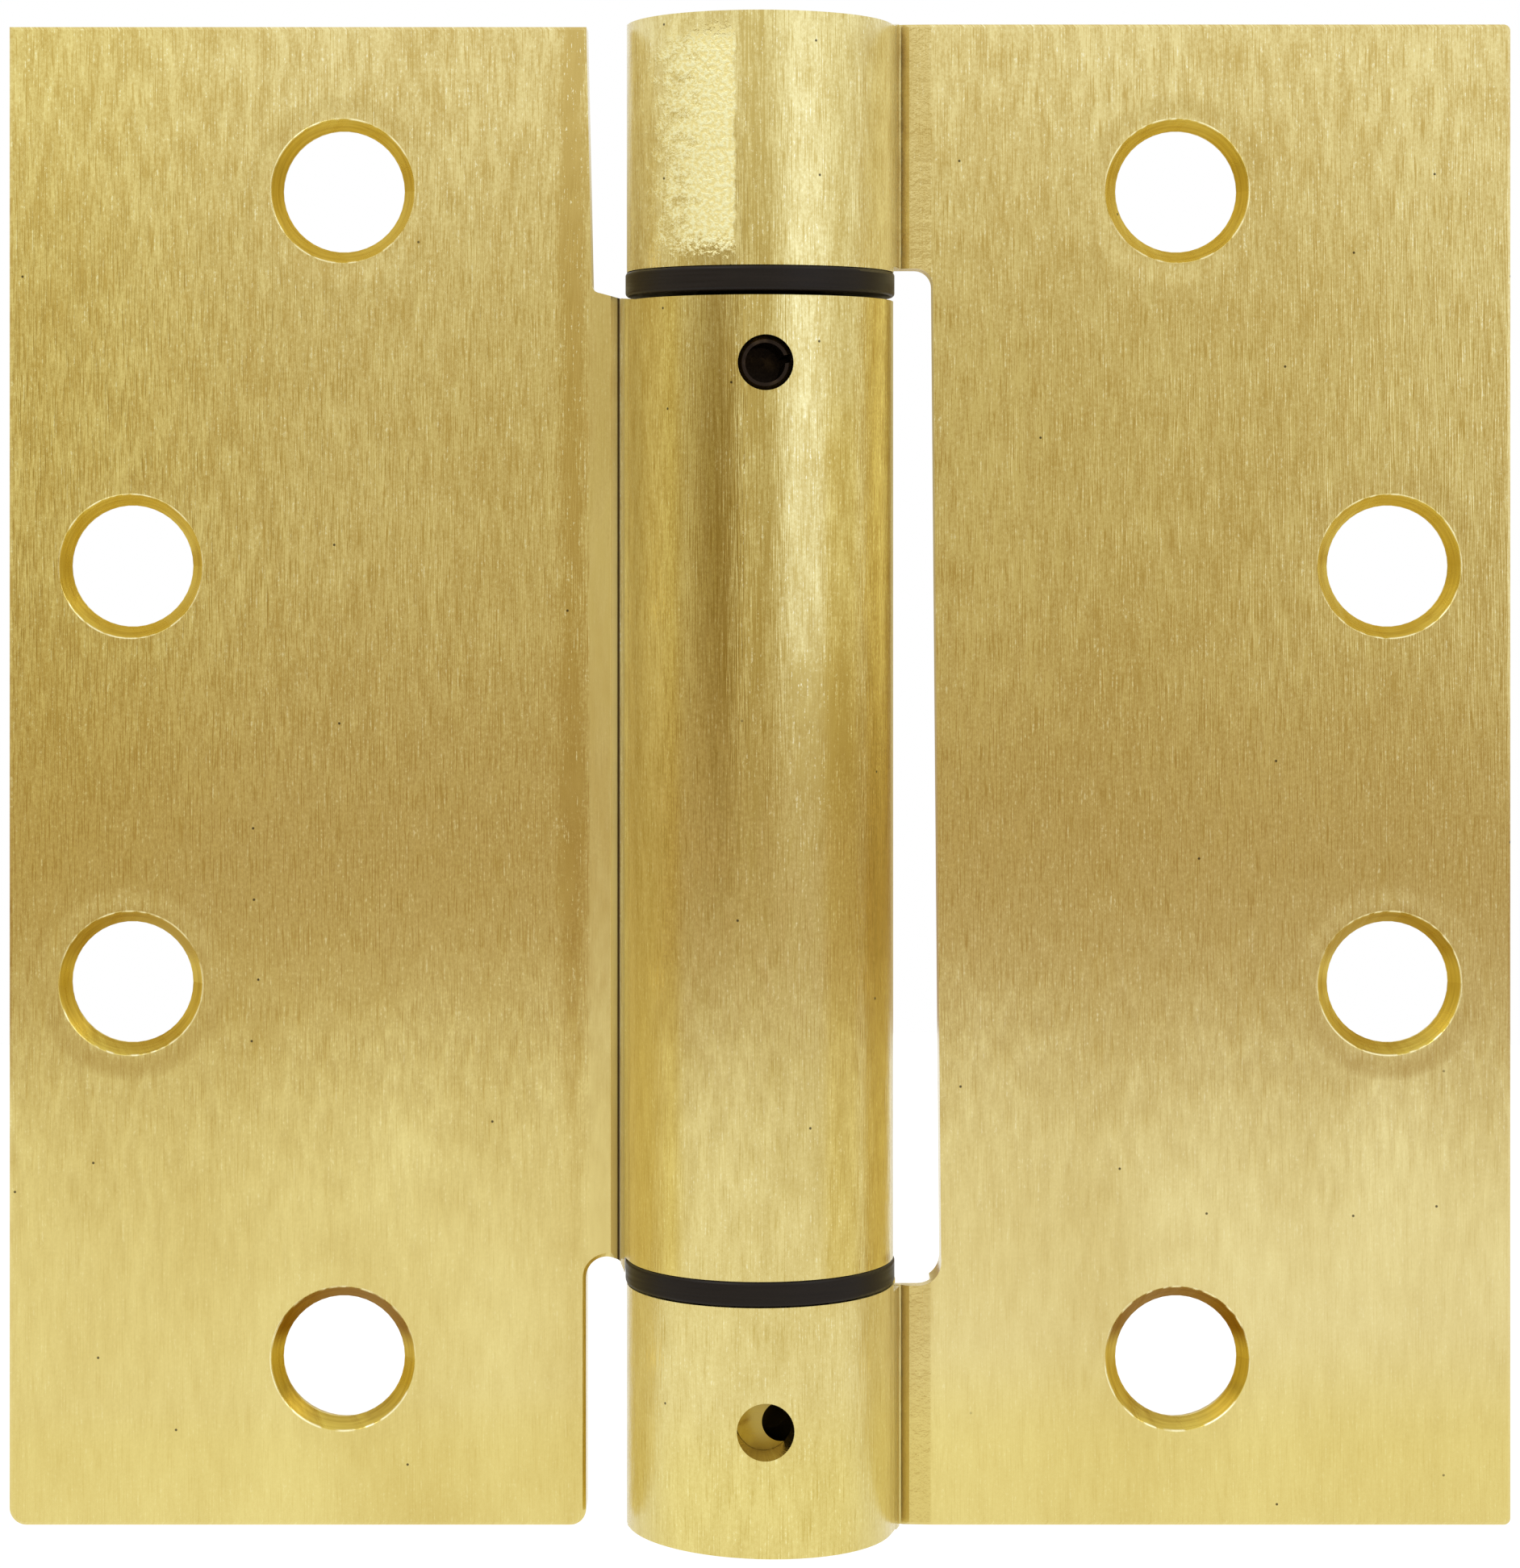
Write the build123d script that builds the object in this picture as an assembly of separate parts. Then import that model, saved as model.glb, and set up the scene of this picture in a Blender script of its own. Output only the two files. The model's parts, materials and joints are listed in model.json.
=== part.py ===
from build123d import *
import os
from math import atan2, cos, degrees, radians, sin, sqrt, tan

os.makedirs("parts", exist_ok=True)

# Self-closing door hinge with three knuckles, laid flat open at 180 degrees.
# Frame: the origin is on the barrel's axis at its mid height, +Z runs up along the barrel,
# and the countersunk faces of both leaves look towards -Y. The frame leaf is on the +X side
# and carries the two end knuckles; the door leaf is on the -X side and carries the middle one.
# All sizes are in millimetres.

# Leaves: two plates of one sheet, each rolled into its own knuckles
leaf_height = 114.3
leaf_reach = 57.15          # barrel axis to the outer edge of a leaf
sheet = 3.4
closed_gap = 1.6            # between the countersunk faces when the hinge is shut
barrel_r = 10.1
upper_knuckle = 19.0        # lengths of the frame leaf's knuckles
lower_knuckle = 18.8
door_shy = 0.2              # the door leaf's upper edge below the frame leaf's
edge_break = 0.25

# Roll of a knuckle, seen along the barrel
bend_r = 2.0                # hollow between a leaf's back and the roll
lip_r = 1.0                 # where the leaf's face turns into the bore
tip_flat_deg = 14.0         # last stretch of the roll that the die leaves straight
tip_round = 0.35
seam_slit = 0.2
swage_drop = 0.5            # how far the leaf's face is pressed back under the seam
swage_reach = 3.0           # from the barrel's outside to where the pressing starts
swage_bend = 1.25           # from there to where it steepens, and how deep it is by then
swage_bend_drop = 0.12
swage_floor = 0.65          # from there to where it is down
roll_draw_top = 0.33        # how far the front of the roll draws back at the hinge's ends
roll_draw_low = 0.42
roll_lean = 1.6             # degrees that the lower end leans, further back at its tip

# Slot in the frame leaf that the middle knuckle turns in
slot_gap_top = 3.05         # from the barrel's outside to the slot's edge, which leans a little
slot_gap_low = 3.7
slot_round_top = 1.3
slot_round_low = 1.8
slot_rise = 0.39            # of the slot's ends in the plate, beyond the knuckles
slot_drop = 0.57
slot_break = 0.45           # the lower end breaks out this much further at the back
break_start = 1.2           # below the plate's face, where that starts
break_short = 0.8           # of the slot's edge

# Notches in the door leaf that the end knuckles turn in
notch_gap_top = 3.13        # from the barrel's outside to the upper notch's edge at its mouth
notch_gap_root = 2.68
notch_rise = 0.88           # the upper notch's floor rises towards its corner
notch_step = 0.7            # inside the barrel's outside, where that rise starts
notch_round = 0.6
notch_gap_low = 3.15
arch_drop = 0.31            # the lower notch's arch below the middle knuckle's lower end

# Outer corners of the leaves
frame_corner_r = 0.5
door_corner_r = 1.3
door_inner_corner_r = 1.2

# Screw holes, four to a leaf in two rows
inner_margin = 25.4         # from a leaf's outer edge to the inner pair
inner_spacing = 88.9
outer_margin = 9.25         # from a leaf's outer edge to the outer pair
outer_spacing = 31.75
hole_r = 4.625
sink_r = 5.5
sink_angle = 82.0
hole_land = 0.25            # straight part of a hole, which is punched and breaks out wider
hole_back_r = 5.1

# Bearings: two flanged plastic bushes
flange = 1.88
flange_proud = 0.1          # of the barrel
flange_round = 0.3
bush_wall = 1.88
run_gap = 0.05              # radial clearance of every turning fit, and under the lower flange
end_play = 0.32             # between the middle knuckle and the upper flange
press_gap = 0.02            # what is left between pressed pieces
upper_sleeve = 10.0
lower_sleeve = 8.0

# Torsion spring of square wire, left-handed, with a straight tang across each end
wire = 2.4
coil_gap = 0.35             # between the coil and the bore
coil_space = 0.3            # between neighbouring turns
tang_past_axis = 3.2
tang_round = 1.6
tang_gap = 0.1              # between a tang and the sides of its slot
slot_spare = 0.5            # from a tang to the mouth of its slot
boss_gap = 0.35             # between a boss and the inside of the coil
coil_end_gap = 2.0          # least between a tang and the shoulder of its plug

# Anchor plug, held in the middle knuckle by a slotted pin
pin_drop = 7.17             # of the pin below the slot's upper edge
cross_turn = 2.4            # degrees that both small holes are turned towards +X
pin_hole_r = 2.05
pin_gap = 0.02
pin_wall = 0.55
pin_slit = 0.6
pin_slit_deg = 10.0
pin_length = 9.0
pin_sunk = 0.85             # below the knuckle's outside
pin_hole_spare = 0.4
pin_bevel = 0.3
anchor_sunk = 0.3           # the plug's shoulder below the middle knuckle's upper end
anchor_below_pin = 6.0
journal_past_bush = 1.0

# Adjuster, the turning plug in the lower knuckle that winds the spring
key_hole_rise = 9.69        # of the key holes above the leaf's lower edge
knuckle_window_r = 2.12
key_hole_r = 1.5
key_hole_depth = 4.0
key_holes = 6
key_turn = 14.2             # degrees that the first key hole is turned towards +X
adjuster_sunk = 0.9
adjuster_clear = 0.25       # below the lower flange
hex_flats = 5.0
hex_depth = 6.0
boss_past_ring = 1.2

# Retaining ring on the adjuster's journal, above the lower bush
ring_thick = 1.0
ring_depth = 0.7            # of its groove
ring_gap = 0.1
ring_width = 1.5
ring_mouth_deg = 60.0
ring_ear_r = 0.9
ring_eye_r = 0.45

# Plug that closes the top knuckle
cap_thick = 6.0
cap_sunk = 0.4
cap_dish_r = 3.2
cap_dish_depth = 0.8
turned_bevel = 0.5          # on the ends of the turned pieces

# Worked out from the sizes above
half_height = leaf_height / 2
front_y = closed_gap / 2
back_y = front_y + sheet
bore_r = barrel_r - sheet
floor_y = front_y + swage_drop
swage_start = barrel_r + swage_reach
swage_knee = barrel_r + swage_bend
swage_foot = barrel_r + swage_floor
slot_top = half_height - upper_knuckle
slot_low = lower_knuckle - half_height
slot_edge_top = barrel_r + slot_gap_top
slot_edge_low = barrel_r + slot_gap_low
notch_edge_top = barrel_r + notch_gap_top
notch_edge_root = barrel_r + notch_gap_root
notch_edge_low = barrel_r + notch_gap_low
inner_row = leaf_reach - inner_margin
outer_row = leaf_reach - outer_margin
arch_r = notch_gap_low / 2
middle_low = slot_low + flange + run_gap
middle_top = slot_top - flange - end_play
flange_r = barrel_r + flange_proud
fit_r = bore_r - press_gap
bush_r = fit_r - bush_wall
journal_r = bush_r - run_gap
groove_low = middle_low + lower_sleeve + ring_gap
groove_top = groove_low + ring_thick + 2 * ring_gap
journal_top = groove_top + boss_past_ring
pin_r = pin_hole_r - pin_gap
pin_height = slot_top - pin_drop
key_hole_height = key_hole_rise - half_height
anchor_low = pin_height - anchor_below_pin
coil_r = bore_r - coil_gap - wire / 2
boss_r = coil_r - wire / 2 - boss_gap
tang_to_plug = wire / 2 + coil_end_gap
top_tang = anchor_low - tang_to_plug
coil_room = top_tang - journal_top - tang_to_plug
turns = int(coil_room / (wire + coil_space))
low_tang = top_tang - turns * (wire + coil_space)
tang_slot = wire + 2 * tang_gap
beyond = 4 * barrel_r       # a length that clears the barrel both ways


def on_circle(radius, angle):
    """Point of a circle about the barrel's axis, in the section's plane."""
    return (radius * cos(radians(angle)), radius * sin(radians(angle)))


def turned(points):
    """Solid turned about Z from a closed outline of (radius, height) points."""
    outline = Plane.XZ * make_face(Polyline(*points, close=True))
    return revolve(outline, axis=Axis.Z)


def cross_cylinder(radius, inner, outer, height, turn):
    """Round bar from one distance off the axis to another, turned from -Y towards +X."""
    bar = Cylinder(radius, outer - inner, align=(Align.CENTER, Align.CENTER, Align.MIN))
    return Pos(0, 0, height) * Rot(0, 0, turn) * Rot(90, 0, 0) * Pos(0, 0, inner) * bar


def knuckle_section():
    """Section of the frame leaf: plate, pressed seam, and a roll with a straight tip."""
    bend_y = back_y + bend_r
    bend_x = sqrt((barrel_r + bend_r) ** 2 - bend_y**2)
    bend_deg = degrees(atan2(bend_y, bend_x))
    lip_y = floor_y + lip_r
    lip_x = sqrt((bore_r + lip_r) ** 2 - lip_y**2)
    lip_deg = degrees(atan2(lip_y, lip_x))
    tip_y = floor_y - seam_slit
    tip_deg = 360 - tip_flat_deg
    outer_start = on_circle(barrel_r, tip_deg)
    inner_start = on_circle(bore_r, tip_deg)
    lean = tan(radians(tip_flat_deg))
    outer_tip = (outer_start[0] + (tip_y - outer_start[1]) * lean, tip_y)
    inner_tip = (inner_start[0] + (tip_y - inner_start[1]) * lean, tip_y)
    with BuildSketch() as section:
        with BuildLine():
            Line((leaf_reach, front_y), (leaf_reach, back_y))
            Line((leaf_reach, back_y), (bend_x, back_y))
            CenterArc((bend_x, bend_y), bend_r, 270, bend_deg - 90)
            CenterArc((0, 0), barrel_r, bend_deg, tip_deg - bend_deg)
            Line(outer_start, outer_tip)
            Line(outer_tip, inner_tip)
            Line(inner_tip, inner_start)
            CenterArc((0, 0), bore_r, tip_deg, lip_deg - tip_deg)
            CenterArc((lip_x, lip_y), lip_r, 180 + lip_deg, 90 - lip_deg)
            Line((lip_x, floor_y), (swage_foot, floor_y))
            Line((swage_foot, floor_y), (swage_knee, front_y + swage_bend_drop))
            Line((swage_knee, front_y + swage_bend_drop), (swage_start, front_y))
            Line((swage_start, front_y), (leaf_reach, front_y))
        make_face()
        tip = section.vertices().sort_by_distance(outer_tip)[0]
        fillet(tip, radius=tip_round)
    return section.sketch


def screw_hole(x, z):
    """Cutter of one countersunk screw hole, sunk from the face that looks to -Y."""
    on_face = (Align.CENTER, Align.CENTER, Align.MIN)
    depth = (sink_r - hole_r) / tan(radians(sink_angle / 2))
    sink = Cone(sink_r, hole_r, depth, align=on_face)
    land = Cylinder(hole_r, depth + hole_land, align=on_face)
    back = Cone(hole_r, hole_back_r, sheet - depth - hole_land, align=on_face)
    cutter = sink + land + Pos(0, 0, depth + hole_land) * back
    return Pos(x, front_y, z) * Rot(-90, 0, 0) * cutter


def screw_holes(side):
    """Cutters of the four screw holes of a leaf, on the side given by 1 or -1."""
    rows = ((inner_row, inner_spacing), (outer_row, outer_spacing))
    return [screw_hole(side * x, up * space / 2) for x, space in rows for up in (-1, 1)]


def through(outline):
    """Cutter that takes an outline in X and Z through the whole depth of the hinge."""
    return extrude(Plane.XZ * outline, amount=beyond, both=True)


def rounded_outline(corners):
    """Face of a closed outline in X and Z, from (x, z, corner radius) points."""
    with BuildSketch() as sketch:
        with BuildLine():
            Polyline(*[(x, z) for x, z, _ in corners], close=True)
        make_face()
        for x, z, radius in corners:
            if radius:
                fillet(sketch.vertices().sort_by_distance((x, z))[0], radius=radius)
    return sketch.sketch


def outline_breaks(leaf, side):
    """Sharp edges of a leaf's countersunk face, along its top, bottom and outer side."""
    def on_outline(edge):
        box = edge.bounding_box()
        far = side * box.center().X > swage_start
        face = abs(box.min.Y - front_y) < edge_break / 2 and box.size.Y < edge_break / 2
        ends = half_height - abs(box.center().Z) < door_corner_r
        outer = abs(side * box.center().X - leaf_reach) < door_corner_r
        return far and face and (ends or outer)

    return leaf.edges().filter_by(on_outline)


def finished_leaf(leaf, side):
    """Leaf with its outline broken and its screw holes sunk."""
    leaf = chamfer(outline_breaks(leaf, side), length=edge_break)
    return leaf - screw_holes(side)


def corner_edges(leaf, x, z):
    """Edge through the thickness of a leaf at one corner of its outline."""
    edges = leaf.edges().filter_by(Axis.Y)
    return edges.sort_by_distance((x, (front_y + back_y) / 2, z))[0]


def roll_draw(draw):
    """Cutter that takes the front of the roll back at an end of the hinge that looks up."""
    outline = Polyline(
        (front_y, 0), (-front_y, -draw), (-beyond, -draw), (-beyond, beyond), (front_y, beyond), close=True)
    return extrude(Plane.YZ * make_face(outline), amount=beyond, both=True)


def slot_breakout():
    """Cutter that slopes the lower end of the slot down towards the back of the plate."""
    start = front_y + break_start
    end_z = slot_low - slot_drop
    outline = Polyline(
        (start, end_z), (back_y, end_z - slot_break), (back_y, end_z + slot_break), (start, end_z + slot_break),
        close=True)
    width = slot_edge_low - break_short - barrel_r
    return Pos(barrel_r, 0, 0) * extrude(Plane.YZ * make_face(outline), amount=width)


def frame_leaf():
    """Leaf on the +X side, with the two end knuckles and the window for the adjuster."""
    leaf = extrude(knuckle_section(), amount=half_height, both=True)
    slot = rounded_outline([
        (-beyond, slot_low, 0),
        (barrel_r, slot_low, 0),
        (barrel_r, slot_low - slot_drop, 0),
        (slot_edge_low, slot_low - slot_drop, slot_round_low),
        (slot_edge_top, slot_top + slot_rise, slot_round_top),
        (barrel_r, slot_top + slot_rise, 0),
        (barrel_r, slot_top, 0),
        (-beyond, slot_top, 0),
    ])
    leaf = leaf - through(slot) - slot_breakout()
    leaf -= Pos(0, 0, half_height) * roll_draw(roll_draw_top)
    leaf -= Pos(0, 0, -half_height) * Rot(0, roll_lean, 0) * mirror(roll_draw(roll_draw_low), about=Plane.XY)
    for z in (-half_height, half_height):
        leaf = fillet(corner_edges(leaf, leaf_reach, z), radius=frame_corner_r)
    leaf = finished_leaf(leaf, 1)
    return leaf - cross_cylinder(knuckle_window_r, 0, 2 * barrel_r, key_hole_height, cross_turn)


def door_leaf():
    """Leaf on the -X side, with the middle knuckle and the hole of its slotted pin."""
    section = mirror(knuckle_section(), about=Plane.YZ)
    leaf = extrude(section, amount=half_height, both=True)
    upper = rounded_outline([
        (-notch_edge_top, half_height + edge_break, 0),
        (-notch_edge_root, middle_top + notch_rise, notch_round),
        (notch_step - barrel_r, middle_top, 0),
        (beyond, middle_top, 0),
        (beyond, half_height + edge_break, 0),
    ])
    arch_z = middle_low - arch_drop - arch_r
    arch = Pos(-barrel_r - arch_r, arch_z) * Circle(arch_r)
    clear_x = flange_r + run_gap
    lower = rounded_outline([
        (-notch_edge_low, -half_height - edge_break, 0),
        (-notch_edge_low, arch_z, 0),
        (-clear_x, arch_z, 0),
        (-clear_x, middle_low, 0),
        (beyond, middle_low, 0),
        (beyond, -half_height - edge_break, 0),
    ])
    above = Pos(-leaf_reach / 2, 0, half_height - door_shy) * Box(
        2 * leaf_reach, beyond, beyond, align=(Align.CENTER, Align.CENTER, Align.MIN))
    leaf = leaf - through(upper) - through(lower) - through(arch) - above
    leaf = fillet(corner_edges(leaf, -leaf_reach, -half_height), radius=door_corner_r)
    leaf = fillet(corner_edges(leaf, -notch_edge_low, -half_height), radius=door_inner_corner_r)
    leaf = finished_leaf(leaf, -1)
    return leaf - cross_cylinder(pin_hole_r, 0, 2 * barrel_r, pin_height, cross_turn)


def flanged_bush(face, sleeve):
    """Bush whose flange lies below the given height and whose sleeve stands above it."""
    bush = turned([
        (bush_r, face - flange),
        (flange_r, face - flange),
        (flange_r, face),
        (fit_r, face),
        (fit_r, face + sleeve),
        (bush_r, face + sleeve),
    ])
    rim = bush.edges().filter_by(GeomType.CIRCLE).filter_by(lambda edge: edge.radius > fit_r + run_gap)
    return fillet(rim, radius=flange_round)


def tang_slotted_boss(low, high, tang, opens_up):
    """Boss inside the coil, with a slot across it that the spring's tang lies in."""
    boss = Pos(0, 0, low) * Cylinder(boss_r, high - low, align=(Align.CENTER, Align.CENTER, Align.MIN))
    floor = tang - tang_slot / 2 if opens_up else tang + tang_slot / 2
    mouth = high if opens_up else low
    slot = Box(2 * bore_r, tang_slot, abs(mouth - floor))
    return boss - Pos(0, 0, (mouth + floor) / 2) * slot


def anchor_plug():
    """Plug in the middle knuckle that holds the spring's upper end and turns in the upper bush."""
    shoulder = middle_top - anchor_sunk
    tip = slot_top + upper_sleeve + journal_past_bush
    plug = turned([
        (0, anchor_low),
        (fit_r - turned_bevel, anchor_low),
        (fit_r, anchor_low + turned_bevel),
        (fit_r, shoulder),
        (journal_r, shoulder),
        (journal_r, tip - turned_bevel),
        (journal_r - turned_bevel, tip),
        (0, tip),
    ])
    boss_end = top_tang - wire / 2 - slot_spare
    plug += tang_slotted_boss(boss_end, anchor_low, top_tang, opens_up=False)
    inner = barrel_r - pin_sunk - pin_length - pin_hole_spare
    return plug - cross_cylinder(pin_hole_r, inner, barrel_r, pin_height, cross_turn)


def slotted_pin():
    """Rolled spring pin: a bevelled tube with one slit along it, as it lies in its hole."""
    tube = Cylinder(pin_r, pin_length) - Cylinder(pin_r - pin_wall, pin_length)
    rims = tube.edges().filter_by(GeomType.CIRCLE).filter_by(lambda edge: edge.radius > pin_r - pin_wall / 2)
    tube = chamfer(rims, length=pin_bevel)
    slit = Pos(pin_r, 0, 0) * Box(2 * pin_r, pin_slit, 2 * pin_length)
    tube -= Rot(0, 0, pin_slit_deg) * slit
    outer = barrel_r - pin_sunk
    return Pos(0, 0, pin_height) * Rot(0, 0, cross_turn) * Rot(90, 0, 0) * Pos(0, 0, outer - pin_length / 2) * tube


def torsion_spring():
    """Left-handed coil of square wire with a tang across the axis at each end."""
    height = turns * (wire + coil_space)
    path = Edge.make_helix(pitch=wire + coil_space, height=height, radius=coil_r, lefthand=True)
    section = Plane(origin=path @ 0, z_dir=path % 0) * Rectangle(wire, wire)
    spring = Pos(0, 0, low_tang) * sweep(section, path=path, is_frenet=True)
    reach = coil_r + wire / 2
    for height, corner in ((low_tang, -1), (top_tang, 1)):
        tang = Box(reach + tang_past_axis, wire, wire)
        bend = tang.edges().filter_by(Axis.Z).sort_by_distance((reach, corner * wire, 0))[0]
        tang = fillet(bend, radius=tang_round)
        spring += Pos((reach - tang_past_axis) / 2, 0, height) * tang
    return spring


def adjuster():
    """Turning plug in the lower knuckle: key holes round it, a hex socket, a journal and a boss."""
    low = -half_height + adjuster_sunk
    shoulder = slot_low - adjuster_clear
    body_r = bore_r - run_gap
    groove_r = journal_r - ring_depth
    plug = turned([
        (0, low),
        (body_r - turned_bevel, low),
        (body_r, low + turned_bevel),
        (body_r, shoulder),
        (journal_r, shoulder),
        (journal_r, groove_low),
        (groove_r, groove_low),
        (groove_r, groove_top),
        (journal_r, groove_top),
        (journal_r, journal_top),
        (0, journal_top),
    ])
    boss_end = low_tang + wire / 2 + slot_spare
    plug += tang_slotted_boss(journal_top, boss_end, low_tang, opens_up=True)
    for k in range(key_holes):
        turn = key_turn + 360 * k / key_holes
        plug -= cross_cylinder(key_hole_r, body_r - key_hole_depth, barrel_r, key_hole_height, turn)
    socket = extrude(RegularPolygon(hex_flats / 2, 6, major_radius=False), amount=hex_depth)
    return plug - Pos(0, 0, low) * socket


def retaining_ring():
    """Open ring with two eyes that snaps into the groove of the adjuster's journal."""
    inner = journal_r - ring_depth + run_gap
    ring = Circle(inner + ring_width) - Circle(inner)
    half = ring_mouth_deg / 2
    reach = 2 * (inner + ring_width)
    ring -= make_face(Polyline((0, 0), on_circle(reach, -half), on_circle(reach, half), close=True))
    eyes = [Pos(*on_circle(inner + ring_ear_r, angle)) for angle in (-half, half)]
    for eye in eyes:
        ring += eye * Circle(ring_ear_r)
    for eye in eyes:
        ring -= eye * Circle(ring_eye_r)
    return Pos(0, 0, groove_low + ring_gap) * extrude(ring, amount=ring_thick)


def top_cap():
    """Pressed plug that closes the top knuckle, with a shallow dish in its upper end."""
    top = half_height - cap_sunk
    cap = turned([
        (0, top - cap_thick),
        (fit_r - turned_bevel, top - cap_thick),
        (fit_r, top - cap_thick + turned_bevel),
        (fit_r, top - turned_bevel),
        (fit_r - turned_bevel, top),
        (cap_dish_r, top),
        (0, top - cap_dish_depth),
    ])
    return cap


pieces = {
    "frame_leaf": frame_leaf(),
    "door_leaf": door_leaf(),
    "upper_bush": flanged_bush(slot_top, upper_sleeve),
    "lower_bush": flanged_bush(middle_low, lower_sleeve),
    "anchor_plug": anchor_plug(),
    "anchor_pin": slotted_pin(),
    "torsion_spring": torsion_spring(),
    "adjuster": adjuster(),
    "retaining_ring": retaining_ring(),
    "top_cap": top_cap(),
}
for name, piece in pieces.items():
    export_step(piece, f"parts/{name}.step")
    print(name, round(piece.volume, 2))
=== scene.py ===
"""Finishes and studio stage of the self-closing hinge: an add-on's layout, run as a script."""

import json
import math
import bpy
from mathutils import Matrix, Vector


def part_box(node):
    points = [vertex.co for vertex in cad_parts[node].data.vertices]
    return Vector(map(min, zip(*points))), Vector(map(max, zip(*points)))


bl_info = {
    "name": "Self-closing hinge finishes",
    "version": (1, 0, 0),
    "blender": (4, 5, 0),
    "location": "3D View > Sidebar > Hinge",
    "description": "Brass, plastic and steel finishes of a spring hinge, and its studio stage",
    "category": "Material",
}

from functools import reduce

import bpy
import numpy as np
from bpy.props import FloatProperty, FloatVectorProperty, PointerProperty
from bpy.types import Operator, Panel, PropertyGroup

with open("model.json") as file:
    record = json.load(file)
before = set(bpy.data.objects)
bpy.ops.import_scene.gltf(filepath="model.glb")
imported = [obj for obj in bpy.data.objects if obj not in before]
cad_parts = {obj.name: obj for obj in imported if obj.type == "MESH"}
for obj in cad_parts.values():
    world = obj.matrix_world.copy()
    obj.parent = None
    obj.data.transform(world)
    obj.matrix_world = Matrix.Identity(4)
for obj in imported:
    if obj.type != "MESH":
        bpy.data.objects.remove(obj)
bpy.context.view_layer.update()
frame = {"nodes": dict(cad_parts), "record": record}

MM = 0.001
BARREL_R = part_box("door_leaf")[1].x / MM
SCREW_ROWS = [
    (abs(mount["pos_m"][0]) / MM, mount["dims"]["spacing_y_mm"] / 2)
    for mount in frame["record"]["mounts"]
    if mount["kind"] == "bolt_pattern" and mount["pos_m"][0] > 0
]

# Places on the hinge, in millimetres.
SINK_R = 5.5                                # radius of a countersink
DISH_R = 7.5                                # where the face starts to dip towards a hole
PRESSED = (0.7, 2.9)                        # smooth strip, from the barrel's outside
GROOVE = (-0.2, 1.25)                       # where a leaf meets its knuckles
SEAM = (0.58, 0.78)                         # dark line of painted shade in that groove
SHADE = (3.4, 5.0)                          # darker band past the door leaf's strip
PATCH_FADE = (-8.6, -4.4)                   # x over which the top knuckle's patch fades in
PATCH_END = (-1.75, -2.0)                   # x at which it ends
PATCH_Z = (39.6, 55.4)                      # its lower and upper ends
SHADED_SINK_INNER = (-43.0, -37.0)                # upper sides of the lower holes, which look down; painted shade there
SHADED_SINK_OUTER = (-14.0, -9.0)
KEY_Z = -47.5                               # height of the adjuster's key holes
KEY_ROW = (-50.0, -45.0)                    # just below and above them
KEY_R = (6.35, 6.6)                         # just inside the adjuster's side, and on it

# Angles on the barrel in radians from its front, positive towards x, and a softness.
FRAME_SCORED = (-0.13, 0.09, 0.04)
DOOR_SCORED = (-0.34, 0.06, 0.09)
BRIGHT_TOP = (-0.6, 0.1, 0.1)
SMUDGE = (0.2, 0.8, 0.1)
# Where painted shade tints the door barrel's right side.
SIDE_SHADE_RIGHT = (0.50, 0.80, 0.07)

BARREL_LIGHT = (0.88, 0.782, 0.38)
BARREL_DEEP = (0.63, 0.495, 0.165)
HAIRLINE = (0.98, 0.93, 0.62)
# The frosted patch's own colour, then its painted highlight specks.
PATCH_DULL = (0.94, 0.82, 0.35)
PATCH_HIGHLIGHT = (1.0, 0.96, 0.55)
# Painted shade for the slit along the seam.
SEAM_SHADE = (0.05, 0.025, 0.006)
TOOL_MARK = (0.55, 0.39, 0.06)
# Painted highlight on the countersinks' edges.
SINK_RIM_HIGHLIGHT = (0.98, 0.90, 0.52)
PIT = (0.03, 0.02, 0.01)
# Painted shade inside the adjuster's key holes and round them.
KEY_HOLE_SHADE = (0.01, 0.007, 0.004)
KEY_SHADE = (0.20, 0.125, 0.025)
WORN_BLACK = (0.11, 0.075, 0.045)
BLUED = (0.20, 0.21, 0.25)
AMBER_TINT = (1.0, 0.985, 0.72)
# Painted shade on the door barrel's sides.
SIDE_SHADE_TINT = (0.95, 0.89, 0.62)
# Painted shade on the upper sides of the lower countersinks.
SINK_SHADE_TINT = (0.43, 0.28, 0.02)

# Levels of light in the room, where 1 is white. The wall has one for each angle round the hinge,
# in degrees from the camera's side.
ROOM_LEVEL = 0.75                           # what the world and the floor give
FLOOR_REACH = (500.0, 1150.0)               # from the middle, over which the floor lifts
FLOOR_LIFT = (0.42, 0.67)
WALL_LEVELS = (
    (-180, 0.5), (-150, 0.45), (-120, 0.9), (-85, 0.66), (-66, 0.58), (-52, 0.38), (-42, 0.33),
    (-28, 0.33), (-21, 0.42), (-16, 0.90), (-12, 0.81), (-9, 0.70), (-6, 0.64), (-4, 0.60),
    (4, 0.60), (9, 0.65), (13, 0.67), (26, 1.15), (50, 1.15), (62, 0.93), (80, 0.78), (98, 1.00),
    (120, 1.1), (150, 0.45), (180, 0.5),
)
WALL_FOOT = 0.48                            # low down, all the way round

# Lamps, in metres.
KEY_PLACE = (-0.50, -0.60, 0.70)
FILL_PLACE = (0.60, -0.50, 0.55)
LAMP_SIZE = 0.50


# Shader maths


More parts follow.
